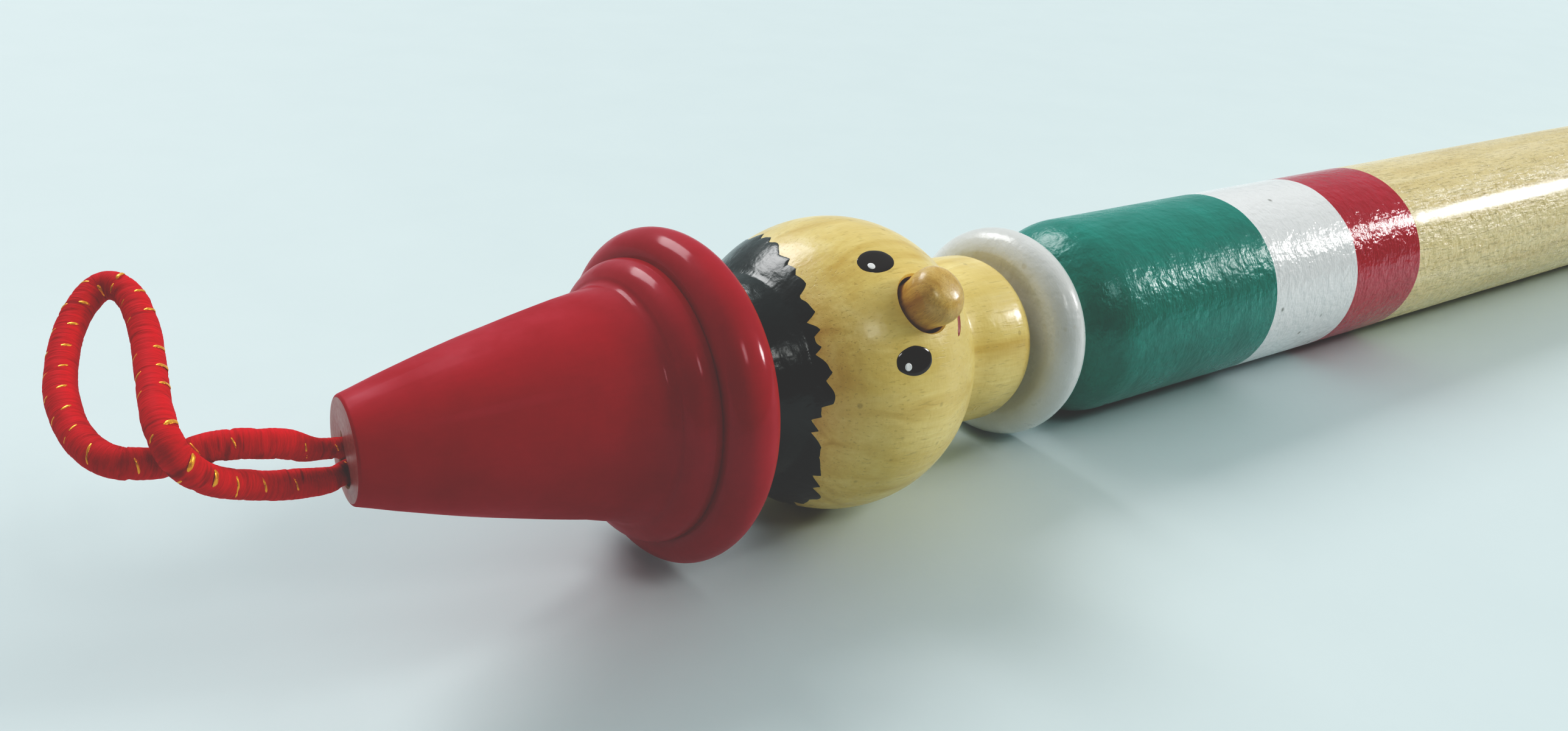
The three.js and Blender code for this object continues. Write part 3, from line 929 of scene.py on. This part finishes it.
# ------------------------------------------------------------------ hat
HAT_END_MIDDLE = -97.4     # middle of the end, which is cut aslant
ASLANT = math.radians(149.88)   # the way round in which the aslant end reaches furthest
hat_outline = [            # cone, then brim
    (-94.7, 4.5), (-92.6, 5.13), (-90.4, 5.77), (-88.2, 6.36), (-86.0, 6.9), (-83.9, 7.41),
    (-82.2, 7.8), (-80.6, 8.15),
    (-79.6, 8.36), (-78.6, 8.57), (-77.6, 8.77), (-77.1, 8.90), (-76.78, 9.16), (-76.6, 9.56),
    (-76.2, 10.15), (-75.6, 10.6), (-74.95, 10.77), (-74.5, 10.76), (-74.24, 10.72),
]
hat_profile = resample(join(
    [[HAT_END_MIDDLE + 0.3, CORD_BORE], [HAT_END_MIDDLE + 0.06, 2.38]],
    rounded([(HAT_END_MIDDLE, 2.55, 0), (HAT_END_MIDDLE, 3.64, 0.3), (-96.3, 3.98, 0)], 6),
    spline(hat_outline, 7),
    arc(-72.31, 11.01, 1.95, 187, 22, 26),
    [[-70.28, 11.4]],
    rounded([(-70.2, 11.0, 0), (-70.2, 4.9, 0.2), (-76.2, 4.9, 0), (-76.2, CORD_BORE, 0.2),
             (-80.0, CORD_BORE, 0)], 4),
    run((-80.0, CORD_BORE), (-96.5, CORD_BORE), 18),
), 0.9)


def hat_bend(along, radius, angle):
    """An aslant end eased away to the brim, and a bore that closes round the cord at the tip."""
    lean = np.interp(along, [-97.5, -95.5, -91.0, -84.0, -74.3, -70.9],
                     [10.0, 9.6, 6.5, 3.6, 3.2, 0.0])
    if radius < 5.2 and along > -80:
        lean = 0.0
    shift = -math.tan(math.radians(lean)) * radius * np.cos(angle - ASLANT)
    if radius > 3.2:
        swell = (0.022 * ring_noise(angle, along * 0.12, 1.3, 111)
                 + 0.008 * ring_noise(angle, along * 0.5, 3.0, 112))
        if radius > 7.0:
            brim = np.interp(along, [-80.5, -76.5], [0.0, 1.0])
            swell = swell + brim * (0.12 + 0.22 * np.cos(angle - math.radians(249)))
    else:
        closing = np.interp(along, [-95.2, -94.0], [1.0, 0.0])
        swell = -closing * (0.54 + 0.64 * np.sin(angle) + 0.55 * np.cos(angle) ** 2)
    return shift, swell


def hat_paint(along, radius):
    """Index into the hat's materials."""
    if radius < 2.5 or (radius < 4.95 and -76.3 < along < -70.3):
        return 2
    return 1 if along < HAT_END_MIDDLE + 0.012 else 0


hat = lathe("hat_cone", hat_profile, 168, head_to_scene, [HAT_RED, HAT_END, SHADED_BORE],
            paint=hat_paint, bend=hat_bend)
place(hat, "head", cad="hat")

# ------------------------------------------------------------------ cord path outside the hat
CORD_RADIUS = 0.95
CORD_STEP = 0.06
# The cord's centre in head axes from the hat's tip: (along x, y, z) in mm. It leaves by the
# lower strand, goes round the loop and comes back by the upper strand.
CORD_POINTS = [
    (3.2, 0, -STRAND_OFFSET), (1.4, 0, -1.12), (0.4, -0.04, -1.38),
    (-0.35, -0.09, -1.52), (-1.05, -0.33, -1.72), (-2.19, -0.23, -1.79), (-3.69, -0.01, -1.73),
    (-5.18, -0.01, -1.51), (-6.68, -0.11, -1.04), (-8.07, -0.39, -0.47), (-9.2, -0.79, 0.3),
    (-10.17, -1.03, 1.21), (-10.87, -0.85, 2.08), (-11.17, -0.01, 2.8), (-11.09, 1.57, 3.34),
    (-10.73, 3.62, 3.63), (-10.27, 5.77, 3.92), (-9.84, 7.8, 4.3), (-9.45, 9.74, 4.79),
    (-9.17, 11.64, 5.34), (-9.11, 13.57, 5.94), (-9.35, 15.2, 6.3), (-9.81, 16.19, 6.35),
    (-10.4, 16.55, 6.15), (-10.97, 16.34, 5.79), (-11.58, 15.79, 5.4), (-12.33, 14.94, 4.82),
    (-13, 13.73, 4.22), (-13.62, 12.32, 3.6), (-14.13, 10.75, 3.05), (-14.55, 9.07, 2.53),
    (-14.75, 7.2, 2.08), (-14.79, 5.3, 1.7), (-14.56, 3.46, 1.47), (-14.07, 1.97, 1.31),
    (-13.34, 1.2, 1.18), (-12.49, 1.18, 0.99), (-11.51, 1.32, 0.72), (-10.55, 1.33, 0.67),
    (-9.69, 1.22, 0.94), (-8.87, 0.98, 1.31), (-7.94, 0.63, 1.54), (-6.85, 0.33, 1.6),
    (-5.56, 0.09, 1.47), (-4.16, 0.02, 1.19), (-2.73, -0.16, 0.63), (-1.59, -0.11, 0.44),
    (-0.47, -0.14, 0.3),
    (0.4, -0.08, 0.42), (1.4, 0, 0.72), (3.2, 0, STRAND_OFFSET),
]


def lengths_along(points):
    return np.concatenate([[0], np.cumsum(np.linalg.norm(np.diff(points, axis=0), axis=1))])


def smooth(values, passes):
    """Evens out the values in place, with both ends held."""
    for _ in range(passes):
        values[1:-1] = 0.5 * values[1:-1] + 0.25 * (values[:-2] + values[2:])


def carry_frames(centre):
    """Tangents, normals and binormals along a line, with as little twist as can be."""
    tangents = unit(np.gradient(centre, axis=0))
    normal = np.array([0.0, 1.0, 0.0])
    normals = []
    for tangent in tangents:
        normal = unit(normal - tangent * (tangent @ normal))
        normals.append(normal)
    normals = np.array(normals)
    return tangents, normals, np.cross(tangents, normals)


cord_curve = spline(CORD_POINTS, 24)
curve_distance = lengths_along(cord_curve)
cord_length = curve_distance[-1]
cord_distance = np.linspace(0, cord_length, int(cord_length / CORD_STEP) + 1)
cord_line = np.stack([np.interp(cord_distance, curve_distance, column)
                      for column in cord_curve.T], -1)
smooth(cord_line, 60)

# both strands are pinched in the hat's hole, the upper one more than the lower
cord_pinch = np.where(
    np.arange(len(cord_line)) > len(cord_line) // 2,
    np.interp(cord_line[:, 0], [-3.5, -2.2, 1.2, 3.0], [1.0, 0.73, 0.73, 0.947]),
    np.interp(cord_line[:, 0], [-1.9, -0.9, 1.2, 3.0], [1.0, 0.80, 0.80, 0.947]))
smooth(cord_pinch, 80)
cord_radius = CORD_RADIUS * cord_pinch * (1 + 0.022 * noise(cord_distance * 0.7, 0, 0, 121))
cord_frames = carry_frames(cord_line)


# ------------------------------------------------------------------ cord surface
def wrap_relief(distance, angle):
    """Thread bunches, uneven slits between them, loose fibres and the thread's fine lay."""
    cosine, sine = np.cos(angle), np.sin(angle)
    y, z = 0.9 * cosine, 0.9 * sine
    lean = (distance + 0.20 * np.sin(angle + 0.35 * distance)
            + 0.10 * noise(distance * 0.9, y * 0.9, z * 0.9, 134))
    bunch = noise(lean * 1.1, 0.35 * cosine, 0.35 * sine, 131)
    slit = noise(lean * 2.4, 0.6 * cosine, 0.6 * sine, 132)
    slit = np.clip((slit - 0.22) / 0.34, 0, 1)
    fuzz = noise(distance * 6.0, 2.6 * cosine, 2.6 * sine, 135)
    waver = 1.5 * noise(distance * 0.8, y * 0.8, z * 0.8, 133)
    lay = np.sin(2 * math.pi * lean / 0.31 + waver)
    return 0.022 * bunch - 0.065 * slit + 0.0035 * lay + 0.015 * fuzz


def thread_tube(name, centre, frames, distance, radius, count, to_scene, pair_caps=False):
    """Capped tube of wound thread; pair_caps lists the two ends' cap faces alternately."""
    _, normals, binormals = frames
    angles = ring_angles(count)
    rings = len(centre)
    reach = np.reshape(radius, (-1, 1)) + wrap_relief(
        *np.meshgrid(distance, angles, indexing="ij"))
    points = centre[:, None] + reach[..., None] * (
        np.cos(angles)[None, :, None] * normals[:, None]
        + np.sin(angles)[None, :, None] * binormals[:, None])
    points = np.vstack([points.reshape(-1, 3), centre[0], centre[-1]])
    start, end, last_ring = rings * count, rings * count + 1, (rings - 1) * count
    start_cap = [(start, (i + 1) % count, i) for i in range(count)]
    end_cap = [(end, last_ring + i, last_ring + (i + 1) % count) for i in range(count)]
    faces = ring_faces(rings, count)
    if pair_caps:
        faces += [face for pair in zip(start_cap, end_cap) for face in pair]
    else:
        faces += start_cap + end_cap
    all_distances = np.concatenate([np.repeat(distance, count), [distance[0], distance[-1]]])
    all_angles = np.concatenate([np.tile(angles, rings), [0, 0]])
    extra = {"s": all_distances, "ca": np.cos(all_angles), "sa": np.sin(all_angles)}
    ob = make_object(name, points, faces, to_scene, [THREAD], sharp=62, extra=extra)
    return ob


def thread_piece(name, start, end):
    """Red thread over one span of the outside cord."""
    span = slice(start, end + 1)
    return thread_tube(name, cord_line[span], [axis[span] for axis in cord_frames],
                       cord_distance[span], cord_radius[span], 26, tip_to_scene)


# Where round the cord the gold surfaces: direction, whether on the outgoing half, cosines at
# which the gold starts and is full, share of turns that show it, size.
GOLD_WINDOWS = [
    ((0.36, -0.86, 0.35), True, 0.80, 0.95, 0.97, 1.15),
    ((-0.90, -0.25, 0.35), True, 0.90, 0.99, 0.95, 0.55),
    ((-0.10, -0.88, 0.45), False, 0.90, 0.99, 0.97, 0.75),
    ((-0.90, -0.20, 0.25), False, 0.90, 0.99, 0.95, 0.62),
    ((0.30, 0.90, -0.30), True, 0.86, 0.97, 0.65, 0.9),
    ((0.60, 0.70, -0.30), False, 0.86, 0.97, 0.65, 0.8),
]
GOLD_PITCH = 2.0
GOLD_PER_STEP = 3          # points of gold thread to a step of the cord
GOLD_HALF_THICKNESS = 0.045
# outline across the thread, (across, outwards), in half widths and half thicknesses
GOLD_SECTION = [(1, 0), (0.6, 0.8), (-0.6, 0.8), (-1, 0), (-0.6, -0.8), (0.6, -0.8)]


def gold_piece(name, start, end):
    """Flat gold thread in a helix, laid in with the red so that short dashes of it show."""
    steps = np.arange(len(cord_line))
    index = np.arange(start * 1.0, end + 1e-6, 1.0 / GOLD_PER_STEP)

    def sample(values):
        if values.ndim == 1:
            return np.interp(index, steps, values)
        return np.stack([np.interp(index, steps, column) for column in values.T], -1)

    distance, core = sample(cord_distance), sample(cord_line)
    tangents, normals, binormals = (sample(axis) for axis in cord_frames)
    phase = 2 * math.pi * distance / GOLD_PITCH + 0.5 * noise(distance * 0.4, 0, 0, 141)
    outwards = np.cos(phase)[:, None] * normals + np.sin(phase)[:, None] * binormals

    # the thread surfaces in the windows and runs under the red elsewhere
    turn = np.floor(phase / (2 * math.pi)).astype(np.int64)
    chance, vigour = hash_unit(turn, 0, 0, 145), hash_unit(turn, 7, 0, 146)
    outgoing = distance < 0.5 * cord_length
    on_loop = np.clip((-core[:, 0] - 8.6) / 0.6, 0, 1)
    show = np.zeros(len(distance))
    for direction, on_outgoing, low, high, share, size in GOLD_WINDOWS:
        direction = np.array(direction)
        window = direction - tangents * (tangents @ direction)[:, None]
        cosine = ((outwards * window).sum(1)
                  / np.maximum(np.linalg.norm(window, axis=1), 1e-6))
        shown = (np.clip((cosine - low) / (high - low), 0, 1)
                 * (outgoing == on_outgoing) * (chance < share) * size)
        show = np.maximum(show, shown * (0.55 + 0.45 * on_loop) * (0.62 + 0.38 * vigour))

    reach = sample(cord_radius) + wrap_relief(distance, phase) * 0.6 - 0.075 + 0.115 * show
    centre = core + reach[:, None] * outwards
    across = unit(np.cross(outwards, unit(np.gradient(centre, axis=0))))
    half_width = 0.045 + 0.095 * show * (1 + 0.3 * noise(distance * 3.1, 0, 3, 143))
    points = np.stack([centre + across * (half_width * a)[:, None]
                       + outwards * (GOLD_HALF_THICKNESS * b) for a, b in GOLD_SECTION], 1)
    rings, count = len(centre), len(GOLD_SECTION)
    faces = ring_faces(rings, count)
    faces.append(tuple(range(count))[::-1])
    faces.append(tuple((rings - 1) * count + i for i in range(count)))
    ob = make_object(name, points.reshape(-1, 3), faces, tip_to_scene, [GOLD], sharp=70)
    return ob


# ------------------------------------------------------------------ cord outside, by spans
MOUTH_END, STRAND_END = -2.4, -6.2    # where the spans part, along from the tip


def crossing(values, target, start=0):
    """First index from start at which the values cross target."""
    return next(k for k in range(start, len(values) - 1)
                if (values[k] - target) * (values[k + 1] - target) <= 0)


def build_outside_cord():
    out = cord_line[:, 0]
    back = out[::-1]
    last = len(out) - 1
    mouth_out = crossing(out, MOUTH_END)
    loop_start = crossing(out, STRAND_END, start=mouth_out + 5)
    mouth_back = last - crossing(back, MOUTH_END)
    loop_end = last - crossing(back, STRAND_END)
    # two part names and a start and end along from the tip; the spans are not blended between the
    # parts, only baked in place
    mouth = ("head", "cord_mouth", -0.3, MOUTH_END)
    strand = ("cord_mouth", "cord_pair", MOUTH_END, -5.6)
    loop = ("cord_pair", "cord_loop", -6.9, -9.4)
    # name, first and last index, blend, CAD piece
    spans = [
        ("lower_mouth", 0, mouth_out, mouth, "cord_mouth"),
        ("lower_strand", mouth_out, loop_start, strand, "cord_strand_lower"),
        ("loop", loop_start, loop_end, loop, "cord_loop"),
        ("upper_strand", loop_end, mouth_back, strand, "cord_strand_upper"),
        ("upper_mouth", mouth_back, last, mouth, None),
    ]
    for name, first, final, (part, next_part, start, end), cad in spans:
        for kind, build in (("thread", thread_piece), ("gold", gold_piece)):
            ob = build(f"cord_{name}_{kind}", first, final)
            axis_point(head_to_scene, HAT_TIP + start)
            axis_point(head_to_scene, HAT_TIP + end)
            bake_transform(ob)
            if kind == "thread" and cad:
                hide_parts(cad)


build_outside_cord()


# ------------------------------------------------------------------ doubled cord inside
def strand_pair(name, start, end, to_scene, blend=None, cad=()):
    """Two straight strands; blend is (part, next part, start, end), yet nothing blends them: with it
    they are baked in place, without it they ride the head.
    """
    for strand, side in (("upper", 1), ("lower", -1)):
        along = np.linspace(start, end, int(abs(end - start) / 0.12))
        centre = np.stack([along, 0 * along, 0 * along + side * STRAND_OFFSET], -1)
        # each strand starts at its own distance, so that their windings differ
        distance = 200 + side * 40 + abs(start) + lengths_along(centre)
        ob = thread_tube(f"cord_{name}_{strand}", centre, carry_frames(centre), distance,
                         0.90, 20, to_scene, pair_caps=True)
        if blend:
            part, next_part, blend_start, blend_end = blend
            axis_point(to_scene, blend_start)
            axis_point(to_scene, blend_end)
            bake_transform(ob)
        else:
            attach(ob, "head")
    if cad:
        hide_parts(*cad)


strand_pair("anchored", -1.9, -26.6, stick_to_scene, blend=("stick", "neck_cord", -4, -24),
            cad=("cord_anchored_end", "cord_in_stick"))
strand_pair("bend", -26.6, NECK_PIVOT, stick_to_scene,
            blend=("neck_cord", "neck_bend", -26.9, NECK_PIVOT), cad=("cord_bend",))
strand_pair("collar", NECK_PIVOT, -31.2, head_to_scene,
            blend=("neck_bend", "collar", NECK_PIVOT, -30.6))
strand_pair("neck", -31.2, -36.0, head_to_scene, blend=("collar", "head", -31.4, -35.8))
strand_pair("in_head", -36.0, -93.75, head_to_scene, cad=("cord_in_head",))


# ------------------------------------------------------------------ floor and world
def build_floor():
    mat = Material("stage_floor")
    place_on = mat.add("TexCoord").outputs["Object"]
    mottle = mat.noise(at=place_on, scale=60.0, detail=4)
    colour = mat.tint((0.625, 0.725, 0.738), (0.64, 0.74, 0.752), mottle, low=0.3, high=0.7)
    tooth = mat.noise(at=place_on, scale=900.0)
    mat.finish(Base_Color=colour, Roughness=0.6, Specular_IOR_Level=0.25,
               Normal=mat.bump(tooth, strength=0.12, depth=0.1))
    half = 3.0
    mesh = bpy.data.meshes.new("floor")
    mesh.from_pydata([(-half, -half, 0), (half, -half, 0), (half, half, 0), (-half, half, 0)],
                     [], [(0, 1, 2, 3)])
    mesh.materials.append(mat.material)
    floor = bpy.data.objects.new("floor", mesh)
    floor.location = (0, 0, -0.00005)
    scene.collection.objects.link(floor)


def build_world():
    """Sky that brightens towards +y and up; the camera itself sees an even backdrop."""
    world = bpy.data.worlds.new("studio")
    scene.world = world
    world.use_nodes = True
    nodes = Nodes(world.node_tree)
    output, background = nodes.add("OutputWorld"), nodes.add("Background")
    towards = nodes.vector_math("DOT_PRODUCT", nodes.add("TexCoord").outputs["Generated"],
                                Vector((0.05, 0.72, 0.62)).normalized())
    sky = nodes.remap(towards, low=-0.25, high=1.0, to=(0.04, 0.74))
    seen = nodes.add("LightPath").outputs["Is Camera Ray"]
    mix = nodes.add("Mix")
    mix.data_type = "FLOAT"
    # a float mix uses inputs 2 and 3
    backdrop = 0.95
    for socket, value in ((0, seen), (2, sky), (3, backdrop)):
        nodes.put(mix.inputs[socket], value)
    nodes.put(background.inputs["Color"], (0.80, 0.90, 0.92))
    nodes.put(background.inputs["Strength"], mix.outputs[0])
    nodes.put(output.inputs[0], background.outputs[0])


build_floor()
build_world()

# ------------------------------------------------------------------ lights
light_target = Vector(axis_point(stick_to_scene, -40))


def area_light(name, azimuth, elevation, distance, size, power, color):
    """Square light aimed at the target; degrees, metres and watts."""
    data = bpy.data.lights.new(name, "AREA")
    data.energy = power
    data.color = color
    data.size = size
    azimuth, elevation = math.radians(azimuth), math.radians(elevation)
    location = light_target + distance * Vector((
        math.cos(elevation) * math.cos(azimuth), math.cos(elevation) * math.sin(azimuth),
        math.sin(elevation)))
    ob = bpy.data.objects.new(name, data)
    ob.location = location
    ob.rotation_mode = "QUATERNION"
    ob.rotation_quaternion = (light_target - location).to_track_quat("-Z", "Y")
    scene.collection.objects.link(ob)
    return ob


area_light("window", azimuth=98, elevation=46, distance=2.60, size=1.20, power=40.0,
           color=(1.0, 1.0, 1.0))
area_light("lamp", azimuth=-18, elevation=20, distance=2.50, size=0.30, power=15.5,
           color=(1.0, 0.99, 0.97))
area_light("fill", azimuth=-84, elevation=46, distance=0.80, size=0.15, power=0.65,
           color=(1.0, 1.0, 0.98))
side_light = area_light("side", azimuth=-21, elevation=32, distance=1.60, size=0.70, power=8.0,
                        color=(1.0, 1.0, 0.98))
side_light.visible_glossy = False

# ------------------------------------------------------------------ camera
# The stick as the camera has it: x right, y down, z forward. Origin in mm, then its axes.
SEEN_ORIGIN = np.array([46.68333785807347, -2.4363924360294575, 141.67358321335751])
SEEN_X = unit(np.array([0.8259606559372147, -0.16505880300200354, 0.5390218793289488]))
SEEN_Z = np.array([0.08143734393938334, -0.91120734928302, -0.40381818387079965])


def build_camera():
    seen_z = unit(SEEN_Z - SEEN_X * (SEEN_X @ SEEN_Z))
    seen_axes = np.array([SEEN_X, np.cross(seen_z, SEEN_X), seen_z])
    right, down, forward = seen_axes.T
    location = (STICK_ORIGIN - seen_axes @ SEEN_ORIGIN) / 1000.0
    pose = np.eye(4)
    pose[:3] = np.stack([right, -down, -forward, location], -1)
    data = bpy.data.cameras.new("camera")
    camera = bpy.data.objects.new("camera", data)
    scene.collection.objects.link(camera)
    camera.matrix_world = Matrix(pose.tolist())
    data.sensor_width = 36.0
    data.lens = 28.91828
    data.shift_y = -0.03901398
    data.clip_start = 0.005
    data.clip_end = 20.0
    scene.camera = camera


def set_view():
    """Standard view with a lifted black, as under a little lens haze."""
    view = scene.view_settings
    view.view_transform = "Standard"
    view.look = "None"
    view.use_curve_mapping = True
    tone = view.curve_mapping.curves[3]
    for x, y in ((0.03, 0.032), (0.08, 0.056), (0.15, 0.118), (0.30, 0.285), (0.50, 0.51)):
        tone.points.new(x, y)
    tone.points[0].location = (0.0, 0.027)
    view.curve_mapping.update()


build_camera()
set_view()

bpy.context.view_layer.update()
